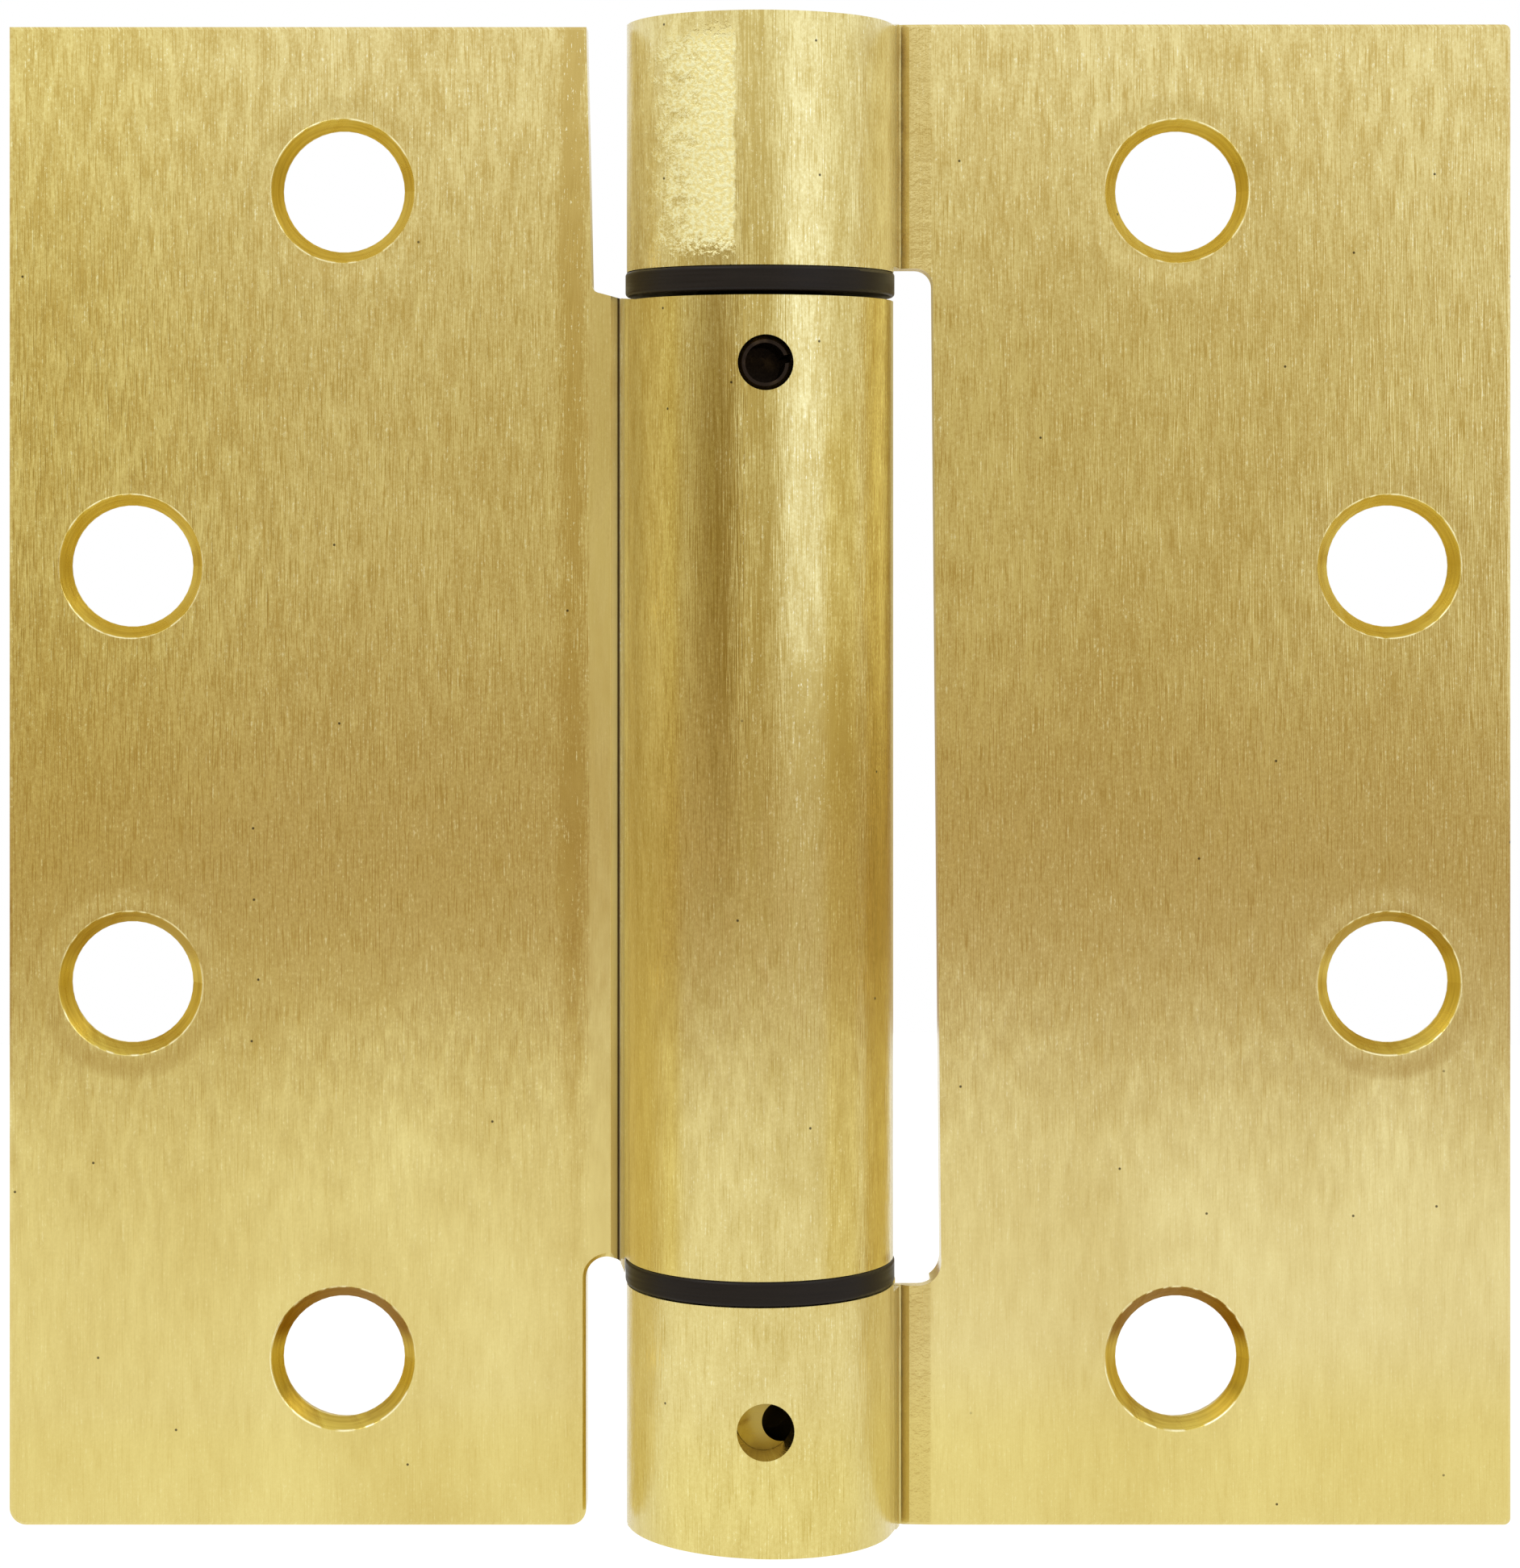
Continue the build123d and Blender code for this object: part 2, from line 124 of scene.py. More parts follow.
class Value:
    """An output socket, wrapped so that shader maths reads as sums."""

    def __init__(self, net, socket):
        self.net = net
        self.socket = socket

    def math(self, operation, *others):
        """Math node of this value and the others, in the order given."""
        return self.net.node("Math", {"operation": operation}, dict(enumerate((self, *others))))

    def __add__(self, other):
        return self.math("ADD", other)

    __radd__ = __add__

    def __mul__(self, other):
        return self.math("MULTIPLY", other)

    __rmul__ = __mul__

    def __sub__(self, other):
        return self.math("SUBTRACT", other)

    def __rsub__(self, other):
        return (self * -1.0) + other

    def __truediv__(self, other):
        return self.math("DIVIDE", other)

    def __pow__(self, other):
        return self.math("POWER", other)

    def __abs__(self):
        return self.math("ABSOLUTE")

    def least(self, other):
        return self.math("MINIMUM", other)

    def most(self, other):
        return self.math("MAXIMUM", other)

    def step(self, start, end, low=0.0, high=1.0):
        """Smooth step from low at start to high at end, level outside them."""
        return self.net.node(
            "MapRange",
            {"interpolation_type": "SMOOTHSTEP", "clamp": True},
            {0: self, 1: start, 2: end, 3: low, 4: high},
        )

    def between(self, start, end, soft):
        """1 between two values and 0 outside them, with soft edges."""
        return self.step(start - soft, start + soft) * self.step(end + soft, end - soft)


def hypot(x, y):
    """Distance from the origin of a place given by two values."""
    return ((x ** 2.0) + (y ** 2.0)) ** 0.5


class Net:
    """A node tree that is built from node types, settings and socket values."""

    def __init__(self, tree):
        self.tree = tree
        tree.nodes.clear()

    def pick(self, sockets, key):
        """Socket by its number, or by the name of one that is in use."""
        if isinstance(key, int):
            return sockets[key]
        return next(socket for socket in sockets if socket.name == key and socket.enabled)

    def node(self, kind, settings=None, values=None, out=0):
        """New node: settings first, then socket values or links.

        Gives one output, by number or name, or several for a tuple of names.
        """
        made = self.tree.nodes.new("ShaderNode" + kind)
        for name, value in (settings or {}).items():
            if name == "stops":
                elements = made.color_ramp.elements
                while len(elements) < len(value):
                    elements.new(0.5)
                for element, (place, level) in zip(elements, value):
                    element.position = place
                    element.color = (level, level, level, 1.0)
            else:
                setattr(made, name, value)
        for key, value in (values or {}).items():
            socket = self.pick(made.inputs, key)
            if isinstance(value, Value):
                self.tree.links.new(value.socket, socket)
            else:
                socket.default_value = value
        if isinstance(out, tuple):
            return tuple(Value(self, self.pick(made.outputs, name)) for name in out)
        return Value(self, self.pick(made.outputs, out)) if made.outputs else None

    def place(self):
        """Object coordinates in millimetres, as a vector and as x, y and z."""
        metres = self.node("TexCoord", out="Object")
        values = {"Vector": metres, "Scale": 1.0 / MM}
        point = self.node("VectorMath", {"operation": "SCALE"}, values)
        return (point, *self.node("SeparateXYZ", values={0: point}, out=("X", "Y", "Z")))

    def noise(self, point, fine, detail=2.0, rough=0.5, shift=0.0):
        """Noise over two or three axes, with its own fineness along each, per millimetre."""
        stretched = self.node(
            "VectorMath",
            {"operation": "MULTIPLY_ADD"},
            {0: point, 1: (*fine, 0.0)[:3], 2: (shift, shift * 1.7, shift * 2.3)},
        )
        return self.node(
            "TexNoise",
            {"noise_dimensions": f"{len(fine)}D"},
            {"Vector": stretched, "Scale": 1.0, "Detail": detail, "Roughness": rough},
        )

    def dots(self, point, spacing, radius, share, shift):
        """Sparse round dots: 1 inside a dot, in the given share of cells of that spacing."""
        moved = self.node(
            "VectorMath",
            {"operation": "MULTIPLY_ADD"},
            {0: point, 1: (1 / spacing,) * 3, 2: (shift,) * 3},
        )
        distance, tint = self.node(
            "TexVoronoi",
            {"feature": "F1", "voronoi_dimensions": "2D"},
            {"Vector": moved, "Scale": 1.0},
            out=("Distance", "Color"),
        )
        chance = self.node("SeparateColor", values={0: tint}, out="Red")
        near = distance.step(radius / spacing, 0.6 * radius / spacing)
        return near * chance.step(share, share - 0.02)

    def mix(self, factor, a, b, blend="MIX"):
        """Colour between a and b by a factor, or a multiplied by b."""
        a, b = (color if isinstance(color, Value) else (*color, 1.0) for color in (a, b))
        settings = {"data_type": "RGBA", "blend_type": blend}
        return self.node("Mix", settings, {"Factor": factor, "A": a, "B": b}, out="Result")

    def bump(self, height):
        """Normal from a height in thousandths of a millimetre."""
        return self.node("Bump", {}, {"Strength": 1.0, "Distance": 0.001 * MM, "Height": height})

    def metal(self, color, roughness, normal, metallic=1.0):
        """Metal surface, less metallic where it scatters light as a frosted or grimy place does."""
        values = {
            "Base Color": color,
            "Roughness": roughness,
            "Normal": normal,
            "Metallic": metallic,
        }
        self.finish(self.node("BsdfPrincipled", {}, values))

    def finish(self, surface):
        """Join a surface to the output of a material or of the world."""
        world = isinstance(self.tree.id_data, bpy.types.World)
        self.node("OutputWorld" if world else "OutputMaterial", {}, {"Surface": surface})


def new_material(name):
    """Empty material and the net of its nodes."""
    material = bpy.data.materials.new(name)
    material.use_nodes = True
    return material, Net(material.node_tree)


def give(material, *nodes):
    """Put a material in the slots of CAD nodes."""
    for name in nodes:
        slots = frame["nodes"][name].data.materials
        slots.clear()
        slots.append(material)


# Sizes and colours that a user would change


class BrassFinish(PropertyGroup):
    light: FloatVectorProperty(
        name="Light brass", description="Colour on the brushed strokes' crests",
        subtype="COLOR", size=3, min=0, max=1, default=(0.865, 0.75, 0.355))
    deep: FloatVectorProperty(
        name="Deep brass", description="Colour in the strokes and smudges",
        subtype="COLOR", size=3, min=0, max=1, default=(0.63, 0.475, 0.155))
    sunk: FloatVectorProperty(
        name="Countersink", description="Colour of the countersinks and cut edges",
        subtype="COLOR", size=3, min=0, max=1, default=(0.74, 0.57, 0.105))
    roughness: FloatProperty(
        name="Roughness", description="Roughness of the brushed faces",
        subtype="FACTOR", min=0.05, max=1, default=0.16)
    stroke_width: FloatProperty(
        name="Stroke width", description="Width of a brush stroke",
        unit="LENGTH", precision=5, min=0.00002, default=0.00011)
    stroke_length: FloatProperty(
        name="Stroke length", description="Length of a brush stroke",
        unit="LENGTH", precision=4, min=0.0001, default=0.0028)
    stroke_depth: FloatProperty(
        name="Stroke depth",
        description="Depth of the brush strokes, in thousandths of a millimetre",
        min=0, max=100, default=14.0)
    dish_depth: FloatProperty(
        name="Dish depth",
        description="How far the face dips round each hole, in thousandths of a millimetre",
        min=0, max=200, default=20.0)
    facet_depth: FloatProperty(
        name="Facet depth",
        description="Unevenness of the rolled barrel, in thousandths of a millimetre",
        min=0, max=200, default=60.0)


class DarkFinish(PropertyGroup):
    plastic: FloatVectorProperty(
        name="Bush plastic", description="Colour of the flanged bushes",
        subtype="COLOR", size=3, min=0, max=1, default=(0.009, 0.006, 0.004))
    black: FloatVectorProperty(
        name="Black steel", description="Colour of the blackened plug and pin",
        subtype="COLOR", size=3, min=0, max=1, default=(0.028, 0.020, 0.016))
    spring: FloatVectorProperty(
        name="Spring steel", description="Colour of the spring and retaining ring",
        subtype="COLOR", size=3, min=0, max=1, default=(0.33, 0.32, 0.31))


class StageSizes(PropertyGroup):
    floor_drop: FloatProperty(
        name="Floor drop", description="Floor below the hinge's middle",
        unit="LENGTH", default=0.183)
    room_radius: FloatProperty(
        name="Room radius", description="Radius of the floor and of the dim wall round it",
        unit="LENGTH", default=1.2)
    wall_top: FloatProperty(
        name="Wall top", description="Where the dim wall has turned white",
        unit="LENGTH", default=0.20)
    camera_back: FloatProperty(
        name="Camera distance", description="Camera to the barrel's axis",
        unit="LENGTH", default=0.290)
    face_back: FloatProperty(
        name="Face depth", description="The leaves' countersunk faces behind the barrel's axis",
        unit="LENGTH", precision=4, default=0.0008)
    camera_up: FloatProperty(
        name="Camera height", description="Camera above the hinge's middle",
        unit="LENGTH", default=0.020)
    view_height: FloatProperty(
        name="View height", description="Height of the view at the leaves' faces",
        unit="LENGTH", default=0.11936)
    view_centre: FloatProperty(
        name="View centre", description="Middle of the view above the hinge's middle",
        unit="LENGTH", default=-0.0007)
    key_power: FloatProperty(
        name="Key lamp", description="Power of the soft lamp above and to the left",
        unit="POWER", min=0, default=2.0)
    fill_power: FloatProperty(
        name="Fill lamp", description="Power of the soft lamp above and to the right",
        unit="POWER", min=0, default=1.0)


class HingeLooks(PropertyGroup):
    brass: PointerProperty(type=BrassFinish)
    dark: PointerProperty(type=DarkFinish)
    stage: PointerProperty(type=StageSizes)


# Finishes. A tone runs from 0 for light brass to 1 for deep brass.


class LeafFace:
    """Where a point lies on a leaf and its knuckles, and the brushing that both leaves share.

    Strokes run along z on the sheet laid flat, which on the barrel is measured along the arc.
    """

    def __init__(self, net, looks):
        self.net = net
        self.looks = looks
        _, self.x, self.y, self.z = net.place()
        self.out_x = abs(self.x)
        out_z = abs(self.z)
        self.roll = hypot(self.x, self.y).step(BARREL_R + 0.35, BARREL_R + 0.1)
        self.angle = self.x.math("ARCTAN2", self.y * -1.0)
        plate = (self.x + self.y * 0.8) * (1.0 - self.roll)
        flat = self.angle * BARREL_R * self.roll + plate
        self.sheet = net.node("CombineXYZ", values={0: flat, 1: self.z, 2: 0.0})

        across = MM / looks.stroke_width
        along = MM / looks.stroke_length
        self.strokes = net.noise(self.sheet, (across, along), detail=1.0, rough=0.5)
        fine = (across / 2, across / 3.4)
        self.grain = net.noise(self.sheet, fine, detail=2.0, rough=0.75, shift=23.0)
        broad = (across / 9, along * 0.7)
        self.wide = net.noise(self.sheet, broad, detail=1.0, rough=0.6, shift=11.0)
        self.cloud = net.noise(self.sheet, (0.09, 0.04), detail=1.0, shift=37.0)

        distances = [hypot(self.out_x - row, out_z - half) for row, half in SCREW_ROWS]
        self.to_hole = reduce(Value.least, distances)
        self.in_hole = self.to_hole.step(SINK_R + 0.03, SINK_R - 0.05)
        values = {0: self.to_hole, 1: (out_z + self.out_x) * 0.5, 2: 0.0}
        self.round_hole = net.node("CombineXYZ", values=values)

        self.pressed = self.past_barrel(*PRESSED, 0.15) * self.y.step(2.2, 1.8)
        self.groove = self.past_barrel(*GROOVE, 0.12) * self.y.between(-3.0, 2.2, 0.6)

    def past_barrel(self, start, end, soft):
        """1 between two distances from the barrel's outside, to either side."""
        return self.out_x.between(BARREL_R + start, BARREL_R + end, soft)

    def height(self, smooth):
        """Strokes and broader waves, a dip round each hole, and long flats on the barrel."""
        looks = self.looks
        dish = self.to_hole.step(DISH_R, SINK_R) * (1.0 - self.in_hole)
        facets = self.net.noise(self.sheet, (0.26, 0.012), detail=2.0, rough=0.45, shift=2.0)
        height = self.strokes * (looks.stroke_depth * (1.0 - smooth * 0.85))
        height = height + self.wide * (looks.stroke_depth * 1.2) - dish * looks.dish_depth
        return height + facets * self.roll * looks.facet_depth

    def brushed(self, smooth):
        """How clear the strokes are: less so low down on a leaf, and on smooth places."""
        return self.z.step(-40.0, 5.0, 0.2, 1.0).most(self.roll * 0.5) * (1.0 - smooth * 0.7)

    def tone(self, brushed, scored):
        """Grain, strokes and clouds, and dark scores on the barrel between two angles."""
        uneven = (self.grain - 0.5) * 1.5 + (self.strokes - 0.5) * 0.8 + (self.wide - 0.5) * 1.1
        tone = 0.42 + uneven * brushed + (self.cloud - 0.5) * 0.6
        scores = self.net.noise(self.sheet, (5.5, 0.11), detail=1.0, rough=0.7, shift=29.0)
        scored = self.angle.between(*scored) * self.roll
        scored = scored * self.y.step(0.0, -1.0) * self.z.step(-15.0, 12.0)
        tone = tone + self.strokes.step(0.60, 0.74) * brushed * 0.55
        return tone + (scores.step(0.45, 0.70) + 0.15) * scored * 0.9

    def color(self, brushed, tone):
        """Brass of that tone with pale hairlines, more amber to the left and low down."""
        net, x, z = self.net, self.x, self.z
        light = net.mix(self.roll * z.step(-10.0, 20.0), self.looks.light, BARREL_LIGHT)
        deep = net.mix(self.roll, self.looks.deep, BARREL_DEEP)
        color = net.mix(tone.least(1.0).most(0.0), light, deep)
        color = net.mix((self.strokes + self.grain).step(0.74, 0.60) * brushed, color, HAIRLINE)
        low = (x.step(35.0, -45.0) * 0.55).most(z.step(-41.0, -52.0) * 0.75) * z.step(6.0, -24.0)
        amber = low.most(x.step(-30.0, -57.0) * 0.6)
        return net.mix(amber, color, AMBER_TINT, "MULTIPLY")

    def marked(self, color, seam):
        """That colour with painted shade along the seam, the countersinks with painted shade on the
        upper sides of the lower ones, painted highlights on their rims, and a few pits.
        """
        net, z = self.net, self.z
        # Painted shade: a dark line in the slit along the seam, strong on the door leaf and faint
        # on the frame leaf.
        line = self.past_barrel(*SEAM, 0.05) * self.y.step(0.6, 0.9)
        color = net.mix(line * seam, color, SEAM_SHADE)
        marks = net.noise(self.round_hole, (7.0, 0.5), detail=1.0, shift=41.0)
        sunk = net.mix((marks - 0.5) * 1.6 + 0.3, self.looks.sunk, TOOL_MARK)
        color = net.mix(self.in_hole, color, sunk)
        # Painted shade on the upper sides of the lower holes' countersinks, stronger on the lowest
        # holes.
        sink_shade = z.between(*SHADED_SINK_INNER, 1.0) + z.between(*SHADED_SINK_OUTER, 1.0) * 0.5
        color = net.mix(self.in_hole * sink_shade, color, SINK_SHADE_TINT, "MULTIPLY")
        # Painted highlight: a bright thin line round each countersink's edge, broken up by the
        # waves.
        rim_highlight = self.to_hole.between(SINK_R - 0.08, SINK_R + 0.06, 0.03)
        color = net.mix(rim_highlight * self.wide.step(0.40, 0.60), color, SINK_RIM_HIGHLIGHT)
        pits = net.dots(self.sheet, spacing=6.0, radius=0.12, share=0.16, shift=0.37)
        return net.mix(pits * 0.85, color, PIT)

    def rough(self):
        """Roughness, uneven with the waves and clouds and higher in the countersinks."""
        rough = self.looks.roughness + (self.wide - 0.5) * 0.10 + (self.cloud - 0.5) * 0.06
        return rough + self.in_hole * 0.12


def frame_brass(name, looks):
    """Brushed brass of the frame leaf, with its pressed strips mottled.

    So is a patch on the left of the top knuckle, which fades in from the left and ends sharply; it
    is frosted, with painted highlight specks.
    """
    material, net = new_material(name)
    face = LeafFace(net, looks)
    speckle = net.noise(face.sheet, (3.0, 3.0), detail=2.0, rough=0.65, shift=5.0)
    wavy = net.noise(face.sheet, (0.9, 1.1), detail=0.0, shift=19.0)
    fade = (face.x + (wavy - 0.5) * 4.0 + (speckle - 0.5) * 4.0).step(*PATCH_FADE)
    end = (face.x + (wavy - 0.5) * 0.4).step(*PATCH_END)
    patch = fade * end * face.roll * face.y.step(0.0, -1.0)
    patch = patch * (face.z + (speckle - 0.5) * 3.0).between(*PATCH_Z, 0.8)
    frost = patch.most(face.pressed * 0.6)

    smooth = face.pressed.most(face.in_hole).most(patch * 0.7)
    height = face.height(smooth) + speckle * frost * 40.0 + wavy * face.pressed * 18.0
    brushed = face.brushed(smooth)
    tone = face.tone(brushed, FRAME_SCORED) + face.pressed * 0.2
    color = face.color(brushed, tone)
    # Real frost, mottled with painted highlight specks.
    mottled = net.mix(speckle.step(0.42, 0.60), PATCH_DULL, PATCH_HIGHLIGHT)
    color = face.marked(net.mix(patch, color, mottled), seam=0.1)
    sides = abs(face.angle).step(0.6, 1.0) * face.roll
    dull = (sides * 0.55).most(face.groove * 0.4).most(patch * 0.65)
    net.metal(color, face.rough() + frost * 0.16, net.bump(height), 1.0 - dull)
    return material


def door_brass(name, looks):
    """Brushed brass of the door leaf: a smooth strip, and a scored and smudged barrel."""
    material, net = new_material(name)
    face = LeafFace(net, looks)
    z, angle, roll = face.z, face.angle, face.roll
    smooth = face.pressed.most(face.in_hole)
    brushed = face.brushed(smooth)
    bright_top = z.step(38.0, 44.0) * angle.between(*BRIGHT_TOP) * roll
    smudge = angle.between(*SMUDGE) * z.between(-1.0, 10.0, 5.0) * roll
    tone = face.tone(brushed, DOOR_SCORED) - bright_top * 0.6 + smudge * 0.5
    tone = tone - face.pressed * z.between(-18.0, 22.0, 8.0) * 0.45
    shade = z.step(-38.0, -8.0, 0.1, 0.6) + z.step(20.0, 36.0) * 0.3
    tone = tone + face.past_barrel(*SHADE, 0.7) * shade
    color = face.color(brushed, tone)
    # Painted shade: a warm darker tint on the barrel's left side, and on part of its right side
    # below the top.
    left = angle * -1.0
    right = angle.between(*SIDE_SHADE_RIGHT) * z.step(32.0, 24.0)
    warm = left.step(0.55, 0.72).most(right * 0.7) * roll
    color = face.marked(net.mix(warm, color, SIDE_SHADE_TINT, "MULTIPLY"), seam=0.95)
    dull = (left.step(0.6, 1.0) * roll * 0.55).most(face.groove * 0.85)
    net.metal(color, face.rough(), net.bump(face.height(smooth)), 1.0 - dull)
    return material


def turned_brass(name, looks, holed=False):
    """Turned brass: rings about z on the ends and fine lines round the sides.

    A holed piece has painted shade inside its key holes, and on its side round them.
    """
    material, net = new_material(name)
    point, x, y, z = net.place()
    radius = hypot(x, y)
    spiral = net.node("CombineXYZ", values={0: radius, 1: z, 2: 0.0})
    rings = net.noise(spiral, (9.0, 9.0, 1.0), detail=2.0, rough=0.6)
    cloud = net.noise(point, (0.4, 0.4, 0.4), detail=2.0, shift=21.0)
    tone = (0.5 + (cloud - 0.5) * 1.2 + (rings - 0.5) * 0.6).least(1.0).most(0.0)
    color = net.mix(tone, looks.sunk, looks.deep)
    if holed:
        inside, outside = KEY_R
        key_row = z.between(*KEY_ROW, 0.1)
        # Painted shade inside the key holes, and on the side round them.
        color = net.mix(radius.step(outside, inside) * key_row * 0.95, color, KEY_HOLE_SHADE)
        shaded = abs(z - KEY_Z).step(2.6, 0.9, 1.0, 0.45) * radius.step(inside, outside)
        color = net.mix(shaded * key_row, color, KEY_SHADE)
    rough = 0.30 + (cloud - 0.5) * 0.15
    net.metal(color, rough, net.bump(rings * 7.0))
    return material


def bush_plastic(name, looks):
    """Matte black moulded plastic with faint moulding rings and a fine grain."""
    material, net = new_material(name)
    point = net.place()[0]
    grain = net.noise(point, (6.0, 6.0, 6.0), detail=2.0)
    rings = net.noise(point, (0.15, 0.15, 5.0), detail=2.0, shift=4.0)
    worn = (0.3 + (grain - 0.5) * 0.7 + (rings - 0.5) * 1.0).least(1.0).most(0.0)
    pale = tuple(1.9 * part for part in looks.plastic)
    values = {
        "Base Color": net.mix(worn, looks.plastic, pale),
        "Roughness": 0.40 + (rings - 0.5) * 0.25,
        "Normal": net.bump(grain * 5.0 + rings * 10.0),
        "Metallic": 0.0,
        "IOR": 1.5,
        "Specular IOR Level": 0.18,
    }
    net.finish(net.node("BsdfPrincipled", {}, values))
    return material


def black_steel(name, looks):
    """Blackened steel: an uneven oxide skin, browner where it has worn."""
    material, net = new_material(name)
    point = net.place()[0]
    cloud = net.noise(point, (0.8, 0.8, 0.8), detail=3.0)
    fine = net.noise(point, (7.0, 7.0, 7.0), detail=2.0, shift=6.0)
    color = net.mix(cloud.step(0.5, 0.75) * 0.5, looks.black, WORN_BLACK)
    net.metal(color, 0.38 + (fine - 0.5) * 0.25, net.bump(fine * 8.0))
    return material


def spring_steel(name, looks):
    """Oiled spring steel: drawn lines along the wire, blued here and there."""
    material, net = new_material(name)
    point = net.place()[0]
    drawn = net.noise(point, (0.6, 0.6, 8.0), detail=2.0)
    cloud = net.noise(point, (0.35, 0.35, 0.35), detail=2.0, shift=15.0)
    color = net.mix(cloud.step(0.4, 0.7), looks.spring, BLUED)
    net.metal(color, 0.32 + (drawn - 0.5) * 0.2, net.bump(drawn * 8.0))
    return material


# Stage


def round_surface(name, radius, height, segments):
    """Profile carried once round z: at each of its points the radius stays and the angle turns.

    The angle falls from a full turn to 0, so a floor that widens faces up and a wall that rises
    faces inwards.
    """
    angle = np.linspace(2 * math.pi, 0, segments + 1)[None, :]
    radius, height, angle = np.broadcast_arrays(radius[:, None], height[:, None], angle)
    points = np.stack([radius * np.cos(angle), radius * np.sin(angle), height], axis=-1)
    corner = np.arange(angle.size).reshape(angle.shape)
    faces = np.stack(
        [corner[:-1, :-1], corner[:-1, 1:], corner[1:, 1:], corner[1:, :-1]], axis=-1
    ).reshape(-1, 4)
    mesh = bpy.data.meshes.new(name)
    mesh.from_pydata(points.reshape(-1, 3).tolist(), [], faces.tolist())
    mesh.polygons.foreach_set("use_smooth", np.ones(len(faces), dtype=bool))
    made = bpy.data.objects.new(name, mesh)
    bpy.context.scene.collection.objects.link(made)
    return made


def floor_surface(sizes):
    """Round floor: the radius grows evenly at one height."""
    radius = np.linspace(0.002, sizes.room_radius, 12)
    return round_surface("floor", radius, np.full_like(radius, -sizes.floor_drop), segments=72)


def wall_surface(sizes):
    """Upright round wall at the floor's edge: the height grows evenly at one radius."""
    height = np.linspace(-sizes.floor_drop, sizes.wall_top, 9)
    radius = np.full_like(height, sizes.room_radius)
    return round_surface("dim_wall", radius, height, segments=144)


def ray_kinds(net):
    """1 for rays from the camera, and 1 for those off gloss or through glass."""
    kinds = ("Is Camera Ray", "Is Glossy Ray", "Is Transmission Ray")
    camera, gloss, glass = net.node("LightPath", out=kinds)
    return camera, gloss.most(glass)


def floor_material():
    """Pale floor that the camera sees as white, with a faint shadow.

    Other rays get the world's level from it, and from below it is clear.
    """
    material, net = new_material("pale_floor")
    _, x, y, _ = net.place()
    camera, off_gloss = ray_kinds(net)
    pale = net.node("BsdfDiffuse", {}, {"Color": (0.8, 0.8, 0.8, 1.0)})
    lift = net.node("Emission", {}, {"Strength": hypot(x, y).step(*FLOOR_REACH, *FLOOR_LIFT)})
    lit = net.node("AddShader", {}, {0: pale, 1: lift})
    level = ROOM_LEVEL + off_gloss * (1.0 - ROOM_LEVEL)
    plain = net.node("Emission", {}, {"Strength": level})
    above = net.node("MixShader", {}, {0: camera, 1: plain, 2: lit})
    clear = net.node("BsdfTransparent")
    below = net.node("NewGeometry", out="Backfacing")
    net.finish(net.node("MixShader", {}, {0: below, 1: above, 2: clear}))
    material.cycles.emission_sampling = "NONE"
    return material


def wall_material(sizes):
    """Dim warm room: its level follows the angle round the hinge and turns white upwards."""
    material, net = new_material("dim_wall")
    _, x, y, z = net.place()
    turn = x.math("ARCTAN2", y * -1.0) / (2 * math.pi) + 0.5
    stops = [(angle / 360 + 0.5, level / 2) for angle, level in WALL_LEVELS]
    ramp = net.node("ValToRGB", {"stops": stops}, {0: turn})
    side = net.node("SeparateColor", values={0: ramp}, out="Red") * 2.0
    low = z.step(-120.0, 0.0)
    high = z.step(100.0, sizes.wall_top / MM)
    level = side * low + WALL_FOOT * (1.0 - low)
    level = level.most(1.0) * high + level * (1.0 - high)
    green = level ** z.step(-200.0, 50.0, 1.44, 1.28)
    warm = net.node("CombineColor", values={0: level, 1: green, 2: level ** 2.25})
    net.finish(net.node("Emission", {}, {"Color": warm, "Strength": 1.0}))
    material.cycles.emission_sampling = "NONE"
    return material


def white_world():
    """White for what is seen directly, and a plainer level for the light that it gives."""
    world = bpy.data.worlds.new("studio")
    bpy.context.scene.world = world
    world.use_nodes = True
    net = Net(world.node_tree)
    camera, off_gloss = ray_kinds(net)
    level = ROOM_LEVEL + camera.most(off_gloss) * (1.0 - ROOM_LEVEL)
    net.finish(net.node("Background", {}, {"Color": (1.0, 1.0, 1.0, 1.0), "Strength": level}))


def soft_lamp(name, place, power):
    """Square area lamp that faces the hinge."""
    light = bpy.data.lights.new(name, "AREA")
    light.shape = "SQUARE"
    light.size = LAMP_SIZE
    light.energy = power
    lamp = bpy.data.objects.new(name, light)
    bpy.context.scene.collection.objects.link(lamp)
    lamp.location = place
    toward = -lamp.location
    lamp.rotation_euler = toward.to_track_quat("-Z", "Y").to_euler()


def studio_camera(sizes):
    """Camera level with the photograph's horizon, shifted down to the photograph's frame."""
    data = bpy.data.cameras.new("camera")
    reach = sizes.camera_back + sizes.face_back
    data.sensor_width = 36.0
    data.lens = data.sensor_width * reach / sizes.view_height
    data.shift_y = (sizes.view_centre - sizes.camera_up) / sizes.view_height
    camera = bpy.data.objects.new("camera", data)
    bpy.context.scene.collection.objects.link(camera)
    camera.location = (0.0, -sizes.camera_back, sizes.camera_up)
    camera.rotation_euler = (math.pi / 2, 0.0, 0.0)
    bpy.context.scene.camera = camera


# Operators


class HINGE_OT_leaves(Operator):
    """Give both leaves their brushed brass"""

    bl_idname = "hinge.leaves"
    bl_label = "Finish leaves"

    def execute(self, context):
        looks = context.scene.hinge_looks.brass
        give(frame_brass("satin_brass_frame_leaf", looks), "frame_leaf")
        give(door_brass("satin_brass_door_leaf", looks), "door_leaf")
        return {"FINISHED"}


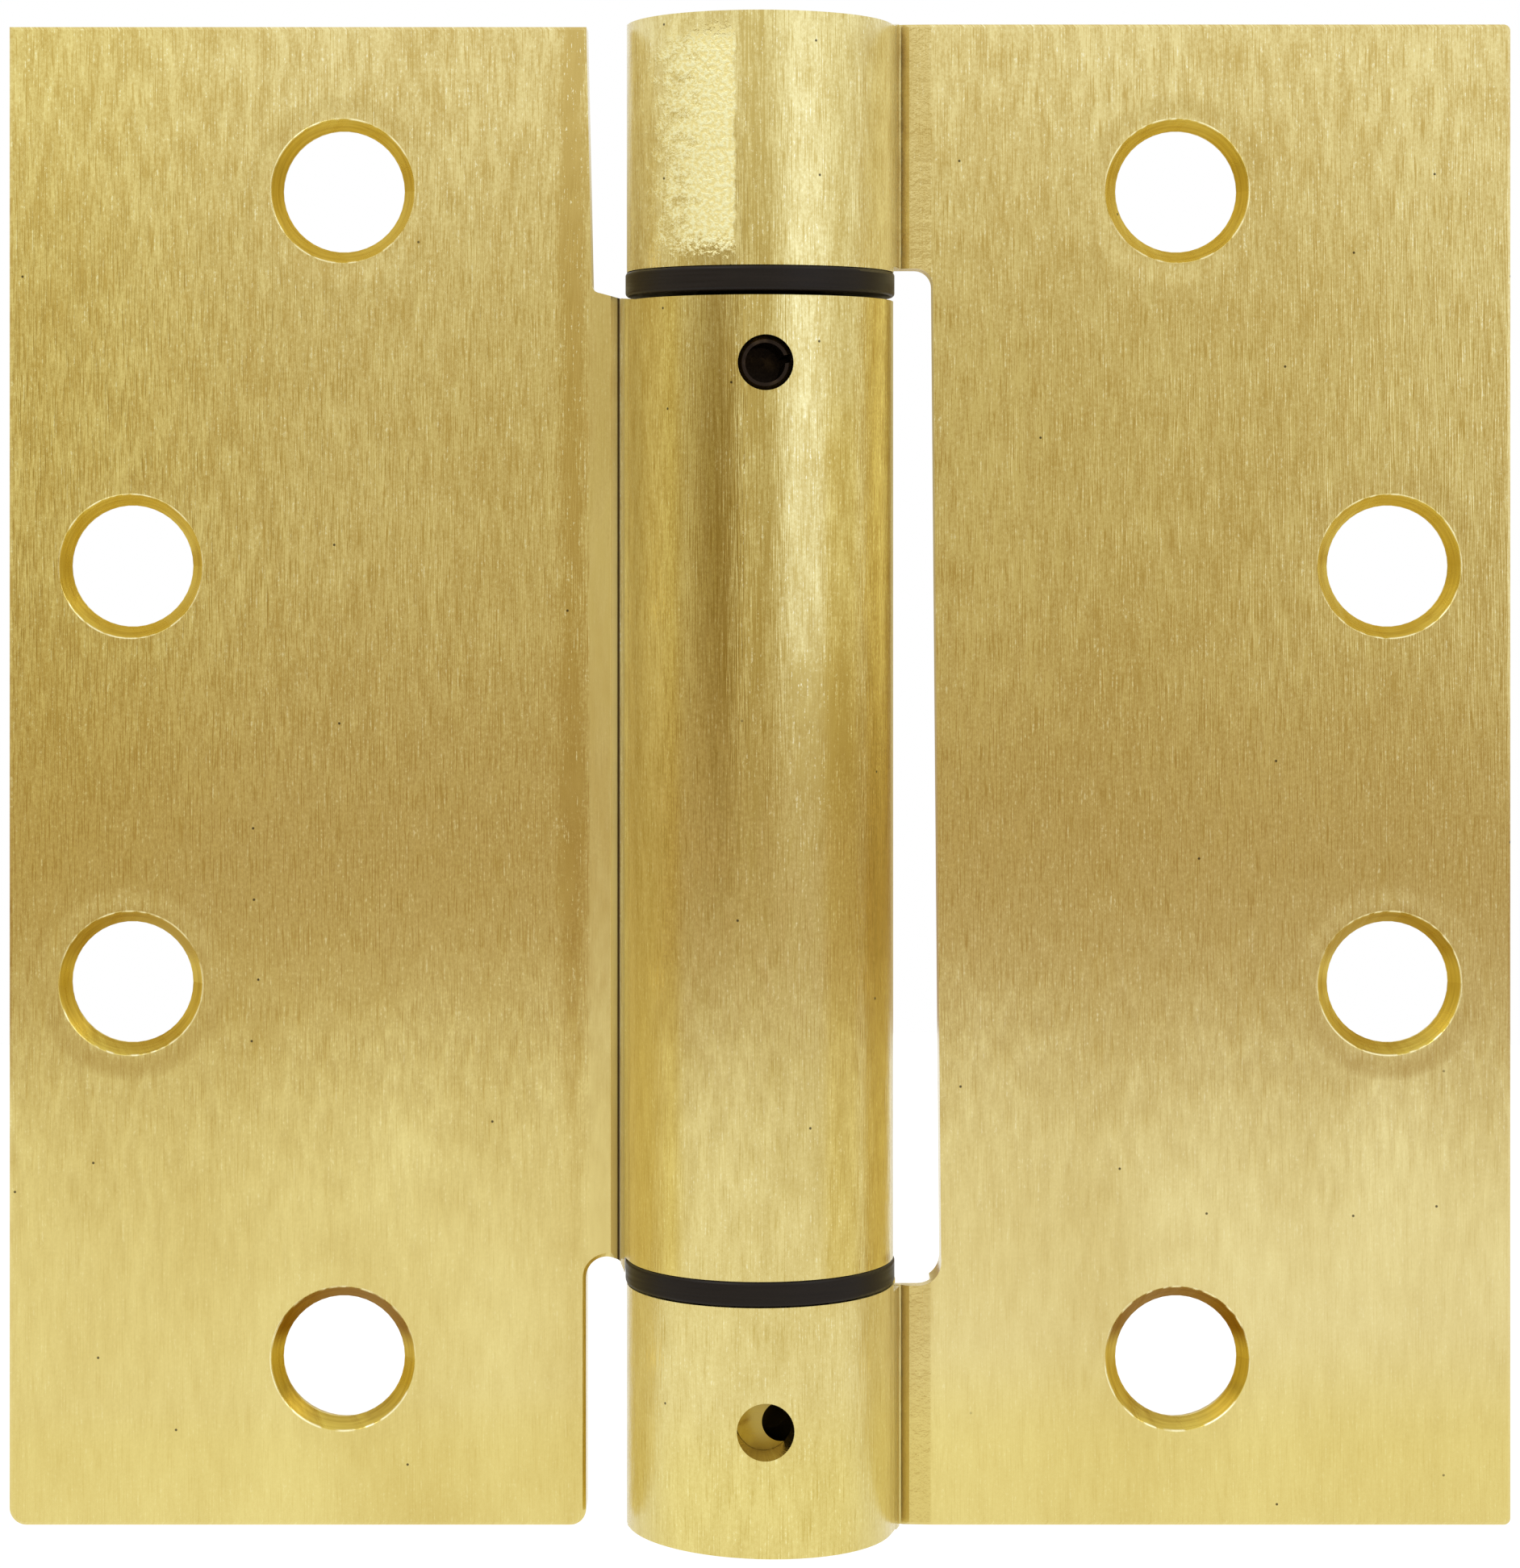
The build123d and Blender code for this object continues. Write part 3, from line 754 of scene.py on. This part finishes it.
class HINGE_OT_turned(Operator):
    """Give the adjuster and the top cap their turned brass"""

    bl_idname = "hinge.turned"
    bl_label = "Finish adjuster and cap"

    def execute(self, context):
        looks = context.scene.hinge_looks.brass
        give(turned_brass("turned_brass", looks), "top_cap")
        give(turned_brass("drilled_brass", looks, holed=True), "adjuster")
        return {"FINISHED"}


class HINGE_OT_bushes(Operator):
    """Give the flanged bushes their black plastic"""

    bl_idname = "hinge.bushes"
    bl_label = "Finish bushes"

    def execute(self, context):
        looks = context.scene.hinge_looks.dark
        give(bush_plastic("bush_plastic", looks), "upper_bush", "lower_bush")
        return {"FINISHED"}


class HINGE_OT_anchor(Operator):
    """Give the anchor plug and its pin their black steel"""

    bl_idname = "hinge.anchor"
    bl_label = "Finish anchor"

    def execute(self, context):
        looks = context.scene.hinge_looks.dark
        give(black_steel("black_steel", looks), "anchor_plug", "anchor_pin")
        return {"FINISHED"}


class HINGE_OT_spring(Operator):
    """Give the spring and the retaining ring their oiled steel"""

    bl_idname = "hinge.spring"
    bl_label = "Finish spring and ring"

    def execute(self, context):
        looks = context.scene.hinge_looks.dark
        give(spring_steel("spring_steel", looks), "torsion_spring", "retaining_ring")
        return {"FINISHED"}


class HINGE_OT_stage(Operator):
    """Make the floor, wall, world, lamps and camera"""

    bl_idname = "hinge.stage"
    bl_label = "Set the stage"

    def execute(self, context):
        sizes = context.scene.hinge_looks.stage
        floor_surface(sizes).data.materials.append(floor_material())
        wall = wall_surface(sizes)
        wall.data.materials.append(wall_material(sizes))
        wall.visible_camera = False
        white_world()
        soft_lamp("key_lamp", KEY_PLACE, sizes.key_power)
        soft_lamp("fill_lamp", FILL_PLACE, sizes.fill_power)
        studio_camera(sizes)
        context.scene.view_settings.view_transform = "Standard"
        return {"FINISHED"}


OPERATORS = (
    HINGE_OT_leaves,
    HINGE_OT_turned,
    HINGE_OT_bushes,
    HINGE_OT_anchor,
    HINGE_OT_spring,
    HINGE_OT_stage,
)


class HINGE_PT_looks(Panel):
    """Lists the finishes and the stage"""

    bl_label = "Hinge finishes"
    bl_space_type = "VIEW_3D"
    bl_region_type = "UI"
    bl_category = "Hinge"

    def draw(self, context):
        looks = context.scene.hinge_looks
        for group in (looks.brass, looks.dark, looks.stage):
            box = self.layout.box()
            for name in group.bl_rna.properties.keys():
                if name not in ("rna_type", "name"):
                    box.prop(group, name)
        for operator in OPERATORS:
            self.layout.operator(operator.bl_idname)


CLASSES = (BrassFinish, DarkFinish, StageSizes, HingeLooks, *OPERATORS, HINGE_PT_looks)


def register():
    for made in CLASSES:
        bpy.utils.register_class(made)
    bpy.types.Scene.hinge_looks = PointerProperty(type=HingeLooks)


def unregister():
    del bpy.types.Scene.hinge_looks
    for made in reversed(CLASSES):
        bpy.utils.unregister_class(made)


def main():
    register()
    bpy.ops.hinge.leaves()
    bpy.ops.hinge.turned()
    bpy.ops.hinge.bushes()
    bpy.ops.hinge.anchor()
    bpy.ops.hinge.spring()
    bpy.ops.hinge.stage()


if __name__ == "__main__":
    main()
